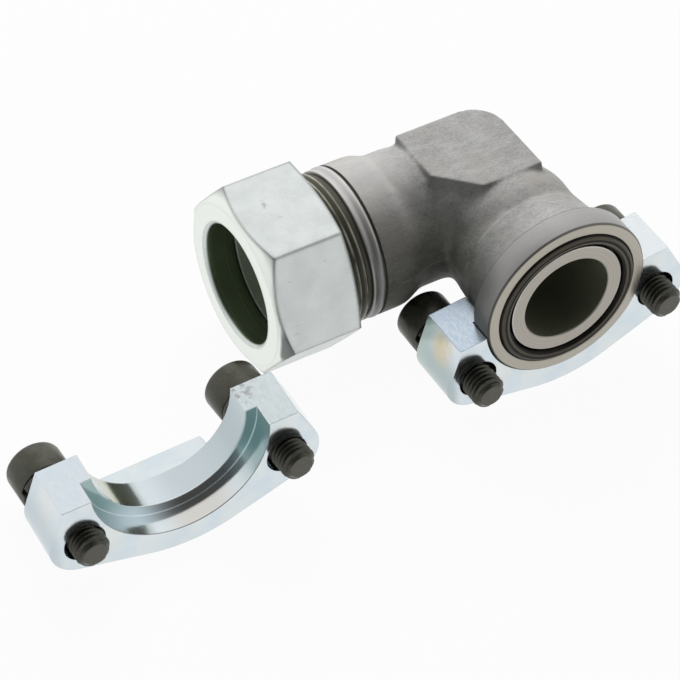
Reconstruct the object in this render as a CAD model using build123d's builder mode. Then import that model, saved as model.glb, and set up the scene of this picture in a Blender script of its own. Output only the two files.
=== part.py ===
from build123d import *
from math import asin, atan2, cos, degrees, hypot, radians, sin, sqrt, tan
import os

# Flange head, 1 1/4 inch split flange pattern of the standard pressure series (mm)
head_diameter = 50.8
head_thickness = 8.0
head_chamfer = 0.6
neck_diameter = 43.0
neck_length = 9.0
neck_taper = 14.0
flange_bore = 27.0
flange_reach = 50.0
groove_outer_diameter = 44.0
groove_inner_diameter = 35.6
groove_depth = 2.7
o_ring_section = 3.53
o_ring_clearance = 0.08

# Forged corner of the elbow (mm, degrees)
flange_arm_diameter = 39.6
nut_arm_diameter = 39.6
corner_ball_diameter = 39.8
pad_height = 22.5
pad_inner_reach = 20.0
pad_outer_reach = 10.0
pad_corner_cut = 10.6
pad_corner_radius = 9.5
pad_draft = 4.0
pad_edge_radius = 0.8
passage_bore = 30.0

# Tube end: collar, thread and 24 degree cone, distances from the flange axis
collar_start = 41.6
collar_end = 47.0
collar_diameter = 45.0
edge_groove_width = 0.9
edge_groove_depth = 0.5
arm_swell_diameter = 44.8
arm_swell_start = 32.5
arm_swell_blend = 6.0
thread_diameter = 45.0
thread_pitch = 2.0
thread_depth = 1.2
thread_start = 47.4
relief_depth = 0.6
spigot_end = 62.0
cone_mouth_diameter = 38.0
cone_half_angle = 12.0
tube_diameter = 35.0
tube_clearance = 0.2
tube_stop_depth = 10.5

# Union nut
nut_across_flats = 50.0
nut_length = 24.9
nut_front = 76.8
nut_turn = 7.26
nut_rim_diameter = 48.0
nut_rear_rim_diameter = 49.2
nut_chamfer_angle = 30.0
nut_rear_chamfer_angle = 15.0
nut_opening_diameter = 35.7
nut_opening_length = 8.8
nut_opening_chamfer = 0.8
thread_clearance = 0.06

# Cutting ring
ring_tip_inset = 4.0
ring_collar_diameter = 41.0
ring_shoulder_gap = 0.6
ring_rear_land = 0.8
ring_seat_clearance = 0.3

# Flange halves, seen along the flange axis
bolt_spacing = 58.7
bolt_line_depth = 15.1
half_thickness = 16.7
split_depth = 1.1
split_half_width = 34.1
ear_radius = 9.8
half_depth = 32.4
half_arc_radius = 41.8
neck_clearance = 0.8
head_clearance = 0.2
head_stand_proud = 0.8
recess_depth = 7.4
bolt_hole_diameter = 11.8
half_edge_radius = 0.6
foot_half_width = 15.0
foot_length = 9.5
foot_top_fall = 2.6
foot_edge_radius = 1.5

# Cap screws and their lock washers
screw_diameter = 10.0
screw_length = 28.0
screw_tip_chamfer = 1.1
screw_head_diameter = 16.0
screw_head_height = 10.0
screw_head_edge = 0.9
hex_key = 8.0
hex_depth = 5.0
washer_outer_diameter = 16.0
washer_bore = 10.4
washer_thickness = 2.6
washer_gap = 1.2
washer_gap_slant = 25.0
screw_rest_clearance = 0.05
seated_screw_slack = 1.7
free_left_screw_slack = 3.6
free_right_screw_slack = 2.4
free_screw_tilt = 2.2
free_left_screw_swing = 2.0
free_right_screw_swing = 4.2
free_right_screw_shift = -0.45

# How the kit lies: both halves on their round backs, turned up at the right
seated_roll = 11.0
free_roll = 9.5
free_yaw = -2.7
free_x = -125.5
free_y = -9.1

os.makedirs("parts", exist_ok=True)

# Places worked out from the sizes; the flange face is the origin and -Y leaves the flange
half_arc_rise = half_arc_radius - half_depth
floor_drop = half_arc_radius - half_arc_rise * cos(radians(seated_roll))
nut_corner_radius = nut_across_flats / sqrt(3)
nut_chamfer_slope = tan(radians(nut_chamfer_angle))
nut_corner_start = nut_front - (nut_corner_radius - nut_rim_diameter / 2) * nut_chamfer_slope
nut_corner_drop = nut_corner_radius * cos(radians(30 - nut_turn))
lean = degrees(
    asin(floor_drop / hypot(nut_corner_start, nut_corner_drop)) - atan2(nut_corner_drop, nut_corner_start)
)
lean_cos = cos(radians(lean))
lean_sin = sin(radians(lean))
corner = Vector(0, flange_reach, 0)
nut_way = Vector(-lean_cos, 0, -lean_sin)
elbow_up = Vector(-lean_sin, 0, lean_cos)
nut_axis = Axis(corner, nut_way)
flange_axis = Axis((0, 0, 0), (0, 1, 0))
nut_section = Plane(origin=corner, x_dir=nut_way, z_dir=(0, 1, 0))
flange_section = Plane(origin=(0, 0, 0), x_dir=(0, 1, 0), z_dir=(1, 0, 0))
elbow_level = Plane(origin=corner, x_dir=(lean_cos, 0, lean_sin), z_dir=elbow_up)


def half_front(x, y, roll, yaw):
    """Front plane of a flange half: X along the bolts, Y downwards, normal to the back."""
    z = half_arc_radius - half_arc_rise * cos(radians(roll)) - floor_drop
    along = (
        cos(radians(roll)) * cos(radians(yaw)),
        cos(radians(roll)) * sin(radians(yaw)),
        sin(radians(roll)),
    )
    backwards = (-sin(radians(yaw)), cos(radians(yaw)), 0)
    return Plane(origin=(x, y, z), x_dir=along, z_dir=backwards)


seated_front = half_front(0, head_stand_proud, seated_roll, 0)
free_front = half_front(free_x, free_y, free_roll, free_yaw)

# Elbow body: two forged arms, the flange head, the threaded spigot and the padded corner
head_radius = head_diameter / 2
neck_radius = neck_diameter / 2
head_back = head_thickness
neck_back = head_back + neck_length
thread_radius = thread_diameter / 2
relief_radius = thread_radius - relief_depth
arm_radius = nut_arm_diameter / 2
swell_radius = arm_swell_diameter / 2
groove_radius = swell_radius - edge_groove_depth
collar_radius = collar_diameter / 2
socket_radius = tube_diameter / 2 + tube_clearance
cone_length = (cone_mouth_diameter / 2 - socket_radius) / tan(radians(cone_half_angle))
tube_stop = spigot_end - tube_stop_depth
thread_turns = int((spigot_end - thread_depth - thread_start) / thread_pitch)

with BuildPart() as elbow_body:
    with BuildSketch(elbow_level.offset(pad_height)) as pad_outline:
        with BuildLine():
            Polyline(
                (-pad_inner_reach, pad_outer_reach),
                (pad_outer_reach, pad_outer_reach),
                (pad_outer_reach, -pad_inner_reach),
                (-pad_inner_reach + pad_corner_cut, -pad_inner_reach),
                (-pad_inner_reach, -pad_inner_reach + pad_corner_cut),
                close=True,
            )
        make_face()
        fillet(
            pad_outline.vertices().sort_by(Axis((0, 0, 0), (1, 1, 0)))[-1],
            pad_corner_radius,
        )
    extrude(amount=-pad_height, taper=-pad_draft)
    pad_top = faces().sort_by(Axis(corner, elbow_up))[-1]
    fillet(pad_top.edges(), pad_edge_radius)
    with BuildSketch(flange_section):
        with BuildLine():
            Polyline(
                (0, 0),
                (0, head_radius - head_chamfer),
                (head_chamfer, head_radius),
                (head_back - head_chamfer / 2, head_radius),
                (head_back, head_radius - head_chamfer / 2),
                (head_back, neck_radius),
                (neck_back, neck_radius),
                (neck_back + neck_taper, flange_arm_diameter / 2),
                (flange_reach, flange_arm_diameter / 2),
                (flange_reach, 0),
                close=True,
            )
        make_face()
    revolve(axis=flange_axis)
    with BuildSketch(nut_section):
        with BuildLine():
            Polyline(
                (0, 0),
                (0, arm_radius),
                (arm_swell_start - arm_swell_blend, arm_radius),
                (arm_swell_start, swell_radius),
                (collar_start - edge_groove_width, swell_radius),
                (collar_start - edge_groove_width, groove_radius),
                (collar_start, groove_radius),
                (collar_start, collar_radius),
                (collar_end - edge_groove_width, collar_radius),
                (collar_end, relief_radius),
                (thread_start, relief_radius),
                (thread_start + relief_depth, thread_radius),
                (spigot_end - thread_depth, thread_radius),
                (spigot_end, thread_radius - thread_depth),
                (spigot_end, 0),
                close=True,
            )
        make_face()
    revolve(axis=nut_axis)
    with Locations(elbow_level):
        Sphere(corner_ball_diameter / 2)
    # Thread grooves round the spigot
    with BuildSketch(nut_section):
        for turn in range(1, thread_turns + 1):
            crest = thread_start + relief_depth + turn * thread_pitch - thread_pitch / 2
            with BuildLine():
                Polyline(
                    (crest - thread_pitch * 0.4, thread_radius + 0.01),
                    (crest, thread_radius - thread_depth),
                    (crest + thread_pitch * 0.4, thread_radius + 0.01),
                    close=True,
                )
            make_face()
    revolve(axis=nut_axis, mode=Mode.SUBTRACT)
    # Flow passage, tube socket and 24 degree cone
    with BuildSketch(nut_section):
        with BuildLine():
            Polyline(
                (0, 0),
                (0, passage_bore / 2),
                (tube_stop, passage_bore / 2),
                (tube_stop, socket_radius),
                (spigot_end - cone_length, socket_radius),
                (spigot_end, cone_mouth_diameter / 2),
                (spigot_end, 0),
                close=True,
            )
        make_face()
    revolve(axis=nut_axis, mode=Mode.SUBTRACT)
    with Locations(elbow_level):
        Sphere(passage_bore / 2, mode=Mode.SUBTRACT)
    with BuildSketch(flange_section):
        with BuildLine():
            Polyline(
                (0, 0),
                (0, flange_bore / 2),
                (flange_reach, flange_bore / 2),
                (flange_reach, 0),
                close=True,
            )
        make_face()
    revolve(axis=flange_axis, mode=Mode.SUBTRACT)
    # Face groove for the O-ring
    with BuildSketch(Plane.XZ):
        Circle(groove_outer_diameter / 2)
        Circle(groove_inner_diameter / 2, mode=Mode.SUBTRACT)
    extrude(amount=-groove_depth, mode=Mode.SUBTRACT)
elbow_body.part.label = "elbow_body"
export_step(elbow_body.part, "parts/elbow_body.step")

# O-ring lying on the groove floor against the outer wall
o_ring_middle = groove_outer_diameter / 2 - o_ring_section / 2 - o_ring_clearance
with BuildPart() as flange_o_ring:
    with BuildSketch(flange_section):
        with Locations((groove_depth - o_ring_section / 2 - o_ring_clearance, o_ring_middle)):
            Circle(o_ring_section / 2)
    revolve(axis=flange_axis)
flange_o_ring.part.label = "flange_o_ring"
export_step(flange_o_ring.part, "parts/flange_o_ring.step")

# Union nut: chamfered hexagon with tube opening, ring seat and threaded bore
nut_rear = nut_front - nut_length
nut_seat_front = nut_front - nut_opening_length
nut_bore_radius = thread_radius + thread_clearance
nut_opening_radius = nut_opening_diameter / 2
nut_seat_rear = nut_seat_front - (nut_bore_radius - nut_opening_radius)
nut_rim_radius = nut_rim_diameter / 2
nut_rear_rim_radius = nut_rear_rim_diameter / 2
nut_rear_slope = tan(radians(nut_rear_chamfer_angle))
nut_body_radius = nut_corner_radius * 1.05
nut_back_face = Plane(origin=corner + nut_way * nut_rear, x_dir=(0, 1, 0), z_dir=nut_way)

with BuildPart() as union_nut:
    with BuildSketch(nut_back_face):
        RegularPolygon(nut_across_flats / 2, 6, major_radius=False, rotation=-nut_turn)
    extrude(amount=nut_length)
    with BuildSketch(nut_section):
        with BuildLine():
            Polyline(
                (nut_rear, 0),
                (nut_rear, nut_rear_rim_radius),
                (nut_rear + (nut_body_radius - nut_rear_rim_radius) * nut_rear_slope, nut_body_radius),
                (nut_front - (nut_body_radius - nut_rim_radius) * nut_chamfer_slope, nut_body_radius),
                (nut_front, nut_rim_radius),
                (nut_front, 0),
                close=True,
            )
        make_face()
    revolve(axis=nut_axis, mode=Mode.INTERSECT)
    with BuildSketch(nut_section):
        with BuildLine():
            Polyline(
                (nut_rear, 0),
                (nut_rear, nut_bore_radius + nut_opening_chamfer),
                (nut_rear + nut_opening_chamfer, nut_bore_radius),
                (nut_seat_rear, nut_bore_radius),
                (nut_seat_front, nut_opening_radius),
                (nut_front - nut_opening_chamfer, nut_opening_radius),
                (nut_front, nut_opening_radius + nut_opening_chamfer),
                (nut_front, 0),
                close=True,
            )
        make_face()
    revolve(axis=nut_axis, mode=Mode.SUBTRACT)
union_nut.part.label = "union_nut"
export_step(union_nut.part, "parts/union_nut.step")

# Cutting ring between the spigot's cone and the nut's seat
ring_bore_radius = tube_diameter / 2 + tube_clearance
ring_collar_radius = ring_collar_diameter / 2
ring_tip = spigot_end - ring_tip_inset
cone_slope = tan(radians(cone_half_angle))
cone_gap = ring_seat_clearance / cos(radians(cone_half_angle))
ring_mouth_radius = cone_mouth_diameter / 2 - cone_gap
ring_tip_radius = ring_mouth_radius - ring_tip_inset * cone_slope
ring_shoulder = spigot_end + ring_shoulder_gap
ring_shoulder_radius = ring_mouth_radius + ring_shoulder_gap * cone_slope
seat_gap = ring_seat_clearance * sqrt(2)
ring_bevel_start = nut_seat_front - (ring_collar_radius - nut_opening_radius) - seat_gap
ring_rear_radius = ring_bore_radius + ring_rear_land
ring_rear = nut_seat_front - (ring_rear_radius - nut_opening_radius) - seat_gap

with BuildPart() as cutting_ring:
    with BuildSketch(nut_section):
        with BuildLine():
            Polyline(
                (ring_tip, ring_bore_radius),
                (ring_tip, ring_tip_radius),
                (ring_shoulder, ring_shoulder_radius),
                (ring_shoulder, ring_collar_radius),
                (ring_bevel_start, ring_collar_radius),
                (ring_rear, ring_rear_radius),
                (ring_rear, ring_bore_radius),
                close=True,
            )
        make_face()
    revolve(axis=nut_axis)
cutting_ring.part.label = "cutting_ring"
export_step(cutting_ring.part, "parts/cutting_ring.step")


def half_outline():
    """Outline of a flange half, Y downwards, from the split line to the round back."""
    with BuildSketch(mode=Mode.PRIVATE) as outline:
        with BuildLine():
            Line((-split_half_width, split_depth), (split_half_width, split_depth))
            CenterArc((-bolt_spacing / 2, bolt_line_depth), ear_radius, 0, 360)
            CenterArc((bolt_spacing / 2, bolt_line_depth), ear_radius, 0, 360)
            CenterArc((0, -half_arc_rise), half_arc_radius, 60, 60)
        make_hull()
    return outline.sketch


def flange_half(front, name):
    """One flange half on its front plane, with neck bore, head recess, bolt holes and foot.

    The foot is the thicker part of the back, between the bolts and under the neck.
    """
    neck_bore = neck_radius + neck_clearance
    foot_top = neck_bore - neck_clearance / 2
    foot_back = half_thickness + foot_length
    foot_side = Plane(origin=front.origin, x_dir=front.z_dir, z_dir=front.x_dir)
    with BuildPart() as half:
        with BuildSketch(foot_side):
            with BuildLine():
                Polyline(
                    (0, -foot_top),
                    (half_thickness, -foot_top),
                    (foot_back, -foot_top - foot_top_fall),
                    (foot_back, -half_arc_radius),
                    (0, -half_arc_radius),
                    close=True,
                )
            make_face()
        extrude(amount=foot_half_width, both=True)
        with BuildSketch(front):
            add(half_outline())
        extrude(amount=foot_back, mode=Mode.INTERSECT)
        foot_end = faces().sort_by(Axis(front.origin, front.z_dir))[-1]
        fillet(foot_end.edges().sort_by(Axis(front.origin, front.y_dir))[:3], foot_edge_radius)
        with BuildSketch(front):
            add(half_outline())
        extrude(amount=half_thickness)
        front_face = faces().sort_by(Axis(front.origin, front.z_dir))[0]
        rounded = front_face.edges().sort_by(Axis(front.origin, front.y_dir))[1:]
        fillet(rounded, half_edge_radius)
        with BuildSketch(front):
            Circle(neck_bore)
        extrude(amount=foot_back, mode=Mode.SUBTRACT)
        with BuildSketch(front):
            Circle(head_radius + head_clearance)
        extrude(amount=recess_depth, mode=Mode.SUBTRACT)
        with BuildSketch(front):
            with Locations((-bolt_spacing / 2, bolt_line_depth), (bolt_spacing / 2, bolt_line_depth)):
                Circle(bolt_hole_diameter / 2)
        extrude(amount=half_thickness, mode=Mode.SUBTRACT)
    half.part.label = name
    return half.part


def cap_screw(seat, name):
    """One socket head cap screw; its washer lies on the seat plane, normal to the head."""
    under_head = seat.offset(washer_thickness)
    head_top = under_head.offset(screw_head_height)
    with BuildPart() as screw:
        with BuildSketch(under_head):
            Circle(screw_head_diameter / 2)
        extrude(amount=screw_head_height)
        fillet(edges().sort_by(Axis(seat.origin, seat.z_dir))[-1], screw_head_edge)
        with BuildSketch(under_head):
            Circle(screw_diameter / 2)
        extrude(amount=-screw_length)
        chamfer(edges().sort_by(Axis(seat.origin, seat.z_dir))[0], screw_tip_chamfer)
        with BuildSketch(head_top):
            RegularPolygon(hex_key / 2, 6, major_radius=False)
        extrude(amount=-hex_depth, mode=Mode.SUBTRACT)
    screw.part.label = name
    return screw.part


def lock_washer(seat, name, gap_turn):
    """One split lock washer on the seat plane, its slanted gap turned about the screw."""
    gap_way = seat.x_dir.rotate(Axis((0, 0, 0), seat.z_dir), gap_turn)
    gap_side = Plane(origin=seat.origin, x_dir=seat.z_dir, z_dir=gap_way)
    slant = washer_thickness * tan(radians(washer_gap_slant)) / 2
    with BuildPart() as washer:
        with BuildSketch(seat):
            Circle(washer_outer_diameter / 2)
            Circle(washer_bore / 2, mode=Mode.SUBTRACT)
        extrude(amount=washer_thickness)
        with BuildSketch(gap_side):
            with BuildLine():
                Polyline(
                    (0, -slant - washer_gap / 2),
                    (washer_thickness, slant - washer_gap / 2),
                    (washer_thickness, slant + washer_gap / 2),
                    (0, -slant + washer_gap / 2),
                    close=True,
                )
            make_face()
        extrude(amount=washer_outer_diameter, mode=Mode.SUBTRACT)
    washer.part.label = name
    return washer.part


# Both halves, each with its two screws lying loose on the floor of their holes
screw_play = (bolt_hole_diameter - screw_diameter) / 2 - screw_rest_clearance
half_fronts = {"seated": seated_front, "free": free_front}
screw_rests = {
    "seated_left": (seated_screw_slack, 0.0, 0.0, 0.0),
    "seated_right": (seated_screw_slack, 0.0, 0.0, 0.0),
    "free_left": (free_left_screw_slack, free_screw_tilt, free_left_screw_swing, 0.0),
    "free_right": (free_right_screw_slack, free_screw_tilt, free_right_screw_swing, free_right_screw_shift),
}
screw_places = {"left": -bolt_spacing / 2, "right": bolt_spacing / 2}
gap_turns = {"left": 205.0, "right": 340.0}

for half_name, front in half_fronts.items():
    half_part = flange_half(front, f"{half_name}_flange_half")
    export_step(half_part, f"parts/{half_name}_flange_half.step")
    for side_name, across in screw_places.items():
        slack, tilt, swing, shift = screw_rests[f"{half_name}_{side_name}"]
        headwards = (
            front.z_dir + front.y_dir * tan(radians(tilt)) - front.x_dir * tan(radians(swing))
        ).normalized()
        screw_drop = sqrt(screw_play**2 - shift**2)
        hole_back = front.from_local_coords((across + shift, bolt_line_depth + screw_drop, half_thickness))
        seat = Plane(origin=hole_back + headwards * slack, x_dir=front.x_dir, z_dir=headwards)
        screw_part = cap_screw(seat, f"{half_name}_{side_name}_screw")
        export_step(screw_part, f"parts/{half_name}_{side_name}_screw.step")
        washer_part = lock_washer(seat, f"{half_name}_{side_name}_washer", gap_turns[side_name])
        export_step(washer_part, f"parts/{half_name}_{side_name}_washer.step")
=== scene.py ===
import logging
import math
from dataclasses import dataclass
from enum import Enum
from typing import Callable, Sequence, Union

import bpy
from mathutils import Matrix, Vector


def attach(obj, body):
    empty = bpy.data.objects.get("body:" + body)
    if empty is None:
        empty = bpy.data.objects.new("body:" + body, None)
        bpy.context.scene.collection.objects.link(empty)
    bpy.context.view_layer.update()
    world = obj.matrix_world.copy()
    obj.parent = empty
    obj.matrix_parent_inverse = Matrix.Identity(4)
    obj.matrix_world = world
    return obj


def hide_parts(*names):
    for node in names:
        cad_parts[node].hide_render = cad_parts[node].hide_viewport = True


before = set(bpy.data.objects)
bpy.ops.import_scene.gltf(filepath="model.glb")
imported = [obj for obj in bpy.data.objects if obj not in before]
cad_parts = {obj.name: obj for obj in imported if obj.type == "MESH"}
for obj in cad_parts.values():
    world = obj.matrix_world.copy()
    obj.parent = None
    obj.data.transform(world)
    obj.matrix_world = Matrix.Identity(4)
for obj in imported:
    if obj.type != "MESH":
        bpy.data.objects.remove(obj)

LOG = logging.getLogger("flange_elbow")
MM = 0.001
FULL_TURN = 2.0 * math.pi
MERGE = 0.000002

Colour = tuple[float, float, float]
Triple = tuple[float, float, float]
Point = tuple[float, float]
Span = tuple[float, float]
Test = Callable[[Vector], bool]
Piece = bpy.types.Object
Finish = bpy.types.Material
Socket = bpy.types.NodeSocket
Feed = Union[float, tuple, Socket]


class HalfPlace(Enum):
    """Where a flange half lies."""

    SEATED = "seated"
    FREE = "free"


class Side(Enum):
    """Bolt side of a flange half."""

    LEFT = ("left", -1.0, 205.0)
    RIGHT = ("right", 1.0, 340.0)

    def __init__(self, label: str, way: float, gap_turn: float) -> None:
        """Keep the label, the way along the bolts and the turn of the washer's gap in degrees."""
        self.label, self.way, self.gap_turn = label, way, gap_turn


class Arm(Enum):
    """The two arms of the elbow."""

    FLANGE = "flange"
    NUT = "nut"


class Cut(Enum):
    """How one solid works on another."""

    REMOVE = "DIFFERENCE"
    JOIN = "UNION"


# Hand tools


def clear_bench() -> None:
    """Leave edit mode and deselect everything."""
    if bpy.context.mode != "OBJECT":
        shut()
    bpy.ops.object.select_all(action="DESELECT")


def shut() -> None:
    """Leave edit mode."""
    bpy.ops.object.mode_set(mode="OBJECT")


def hold(piece: Piece) -> None:
    """Select one piece alone and make it active.

    Args:
        piece: The piece.
    """
    clear_bench()
    piece.select_set(True)
    bpy.context.view_layer.objects.active = piece


def open_all(piece: Piece) -> None:
    """Open a piece in edit mode with all of it selected.

    Args:
        piece: The piece.
    """
    hold(piece)
    bpy.ops.object.mode_set(mode="EDIT")
    bpy.ops.mesh.select_all(action="SELECT")


def settle() -> None:
    """Put the place, turn and scale of the held piece into its mesh."""
    bpy.ops.object.transform_apply(location=True, rotation=True, scale=True)


def name_piece(piece: Piece, name: str) -> None:
    """Name a piece and its mesh."""
    piece.name = name
    piece.data.name = name


def clean(piece: Piece) -> None:
    """Merge doubled points and turn all faces outwards.

    Args:
        piece: The piece to clean.
    """
    open_all(piece)
    bpy.ops.mesh.remove_doubles(threshold=MERGE)
    bpy.ops.mesh.normals_make_consistent(inside=False)
    shut()


def pick_points(piece: Piece, test: Test) -> None:
    """Open a piece with the points selected that pass a test of place.

    Args:
        piece: The piece to open.
        test: Takes a point in millimetres and says whether it is picked.
    """
    open_all(piece)
    bpy.ops.mesh.select_mode(type="VERT")
    bpy.ops.mesh.select_all(action="DESELECT")
    shut()
    for point in piece.data.vertices:
        point.select = test(point.co / MM)
    bpy.ops.object.mode_set(mode="EDIT")


def smooth_points(piece: Piece, test: Test, steps: int) -> None:
    """Smooth the points that pass a test of place.

    Args:
        piece: The piece to work on.
        test: Takes a point in millimetres and says whether it is smoothed.
        steps: How often.
    """
    pick_points(piece, test)
    bpy.ops.mesh.vertices_smooth(factor=0.5, repeat=steps)
    shut()


def draw_in(piece: Piece, test: Test, shares: Triple, level: float = 0.0) -> None:
    """Draw the points that pass a test in towards a point of the Z axis.

    Args:
        piece: The piece to work on.
        test: Takes a point in millimetres and says whether it is drawn in.
        shares: What stays of the distance along each axis.
        level: Height of the point in millimetres.
    """
    pick_points(piece, test)
    bpy.ops.transform.resize(value=shares, center_override=(0.0, 0.0, level * MM))
    shut()


def draw_outline(name: str, spots: Sequence[Vector], closed: bool = True) -> Piece:
    """Draw an outline by extruding one point from spot to spot.

    Args:
        name: Name of the piece.
        spots: Corners of the outline in millimetres.
        closed: Whether the last corner joins the first.

    Returns:
        The piece, with edges only.
    """
    clear_bench()
    bpy.ops.mesh.primitive_plane_add(size=MM)
    piece = bpy.context.active_object
    name_piece(piece, name)
    open_all(piece)
    bpy.ops.mesh.merge(type="CENTER")
    bpy.ops.transform.translate(value=spots[0] * MM)
    here = spots[0]
    for spot in [*spots[1:], *spots[:closed]]:
        bpy.ops.mesh.extrude_vertices_move(TRANSFORM_OT_translate={"value": (spot - here) * MM})
        here = spot
    bpy.ops.mesh.select_all(action="SELECT")
    bpy.ops.mesh.remove_doubles(threshold=MERGE)
    shut()
    return piece


def turn_on_lathe(name: str, profile: Sequence[Point], steps: int, closed: bool = True) -> Piece:
    """Turn a profile about the Z axis.

    Args:
        name: Name of the piece.
        profile: Corners as (distance along the axis, radius) in millimetres.
        steps: Facets round the axis.
        closed: Whether the profile is a loop; an open one starts and ends on the axis.

    Returns:
        The turned piece.
    """
    piece = draw_outline(name, [Vector((radius, 0.0, along)) for along, radius in profile], closed)
    open_all(piece)
    bpy.ops.mesh.spin(steps=steps, angle=FULL_TURN, center=(0.0, 0.0, 0.0), axis=(0.0, 0.0, 1.0))
    clean(piece)
    return piece


def wind_ridge(
    name: str, profile: Sequence[Point], rise: float, turns: int, steps: int, angle: float = FULL_TURN
) -> Piece:
    """Wind a closed profile round the Z axis as a helix.

    Args:
        name: Name of the piece.
        profile: Corners as (distance along the axis, radius) in millimetres.
        rise: Rise of one winding in millimetres.
        turns: Number of windings.
        steps: Facets of one winding.
        angle: Angle of one winding.

    Returns:
        The wound piece, with its ends closed.
    """
    piece = draw_outline(name, [Vector((radius, 0.0, along)) for along, radius in profile])
    winding = piece.modifiers.new("winding", "SCREW")
    winding.axis = "Z"
    winding.angle = angle
    winding.screw_offset = rise * MM
    winding.iterations = turns
    winding.steps = winding.render_steps = steps
    winding.use_merge_vertices = False
    apply_all(piece)
    open_all(piece)
    bpy.ops.mesh.fill_holes(sides=len(profile))
    clean(piece)
    return piece


def apply_all(piece: Piece) -> None:
    """Apply every modifier of a piece in order.

    Args:
        piece: The piece.
    """
    hold(piece)
    for name in [step.name for step in piece.modifiers]:
        bpy.ops.object.modifier_apply(modifier=name)


def work_with(piece: Piece, tool: Piece, cut: Cut) -> None:
    """Cut or join a piece with a second solid, which is used up.

    Args:
        piece: The piece that stays.
        tool: The solid that works on it.
        cut: What the tool does.
    """
    step = piece.modifiers.new("cut", "BOOLEAN")
    step.operation = cut.value
    step.solver = "EXACT"
    step.object = tool
    apply_all(piece)
    bpy.data.objects.remove(tool)


def merge_pieces(main: Piece, *others: Piece) -> Piece:
    """Join other pieces into the first one.

    Args:
        main: The piece that stays.
        others: The pieces that go into it.

    Returns:
        The joined piece.
    """
    hold(main)
    for other in others:
        other.select_set(True)
    bpy.ops.object.join()
    return main


def round_edges(piece: Piece, width: float, segments: int, angle: float) -> None:
    """Round the edges that are sharper than an angle.

    Args:
        piece: The piece to round.
        width: Width of the rounding in millimetres.
        segments: Facets across it.
        angle: Smallest edge angle in degrees.
    """
    step = piece.modifiers.new("round", "BEVEL")
    step.width = width * MM
    step.segments = segments
    step.limit_method = "ANGLE"
    step.angle_limit = math.radians(angle)
    apply_all(piece)


def set_down(piece: Piece, place: Matrix, smooth: float) -> None:
    """Put a piece at its place, with the place in its mesh.

    Args:
        piece: The piece, modelled about its own axis.
        place: Its own axes in the row frame.
        smooth: Edges below this angle in degrees are shaded smooth.
    """
    hold(piece)
    piece.matrix_world = place
    settle()
    clean(piece)
    hold(piece)
    bpy.ops.object.shade_smooth_by_angle(angle=math.radians(smooth))


def copy_of(piece: Piece, name: str) -> Piece:
    """Copy a piece together with its mesh.

    Args:
        piece: The piece to copy.
        name: Name of the copy.

    Returns:
        The copy.
    """
    hold(piece)
    bpy.ops.object.duplicate(linked=False)
    twin = bpy.context.active_object
    name_piece(twin, name)
    return twin


def paint(piece: Piece, finish: Finish) -> None:
    """Give a piece one finish in place of those it has."""
    piece.data.materials.clear()
    piece.data.materials.append(finish)


# Places


@dataclass(frozen=True)
class Layout:
    """Where everything lies: the elbow's lean and the axes of all sub-assemblies, in millimetres and degrees.

    A half's place is its x and y in the row frame, its roll and its yaw.
    """

    lean: float = 4.680804079
    floor: float = -32.572704
    reach: float = 50.0
    arc_radius: float = 41.8
    arc_rise: float = 9.4
    seated: tuple[float, float, float, float] = (0.0, 0.8, 11.0, 0.0)
    free: tuple[float, float, float, float] = (-125.5, -9.1, 9.5, -2.7)

    @staticmethod
    def axes(across: Vector, along: Vector, origin: Vector) -> Matrix:
        """Build a place from two axes.

        Args:
            across: Way of the X axis.
            along: Way of the Z axis.
            origin: Origin in millimetres.

        Returns:
            The place in the row frame, in metres.
        """
        place = Matrix((across, along.cross(across), along)).transposed().to_4x4()
        place.translation = origin * MM
        return place

    def elbow(self) -> Matrix:
        """Give the corner of the arms.

        Returns:
            Its place: X away from the nut, Y away from the flange, Z up.
        """
        tilt = math.radians(self.lean)
        across = Vector((math.cos(tilt), 0.0, math.sin(tilt)))
        upward = Vector((-math.sin(tilt), 0.0, math.cos(tilt)))
        return self.axes(across, upward, Vector((0.0, self.reach, 0.0)))

    def flange(self) -> Matrix:
        """Give the flange axis, from the sealing face inwards."""
        return self.axes(Vector((1.0, 0.0, 0.0)), Vector((0.0, 1.0, 0.0)), Vector())

    def spigot(self) -> Matrix:
        """Give the nut axis.

        Returns:
            Its place, with Z from the corner outwards.
        """
        tilt = math.radians(self.lean)
        outward = Vector((-math.cos(tilt), 0.0, -math.sin(tilt)))
        return self.axes(Vector((0.0, 1.0, 0.0)), outward, Vector((0.0, self.reach, 0.0)))

    def half(self, which: HalfPlace) -> Matrix:
        """Give the front of a flange half.

        Args:
            which: The half.

        Returns:
            Its place: X along the bolts, Y down, Z to the back.
        """
        x, y, roll, yaw = self.seated if which is HalfPlace.SEATED else self.free
        r, w = math.radians(roll), math.radians(yaw)
        across = Vector((math.cos(r) * math.cos(w), math.cos(r) * math.sin(w), math.sin(r)))
        back = Vector((-math.sin(w), math.cos(w), 0.0))
        height = self.arc_radius - self.arc_rise * math.cos(r) + self.floor
        return self.axes(across, back, Vector((x, y, height)))


# Finishes


def shade(colour: Colour, share: float) -> Colour:
    """Make a colour brighter or darker."""
    return tuple(share * part for part in colour)


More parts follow.
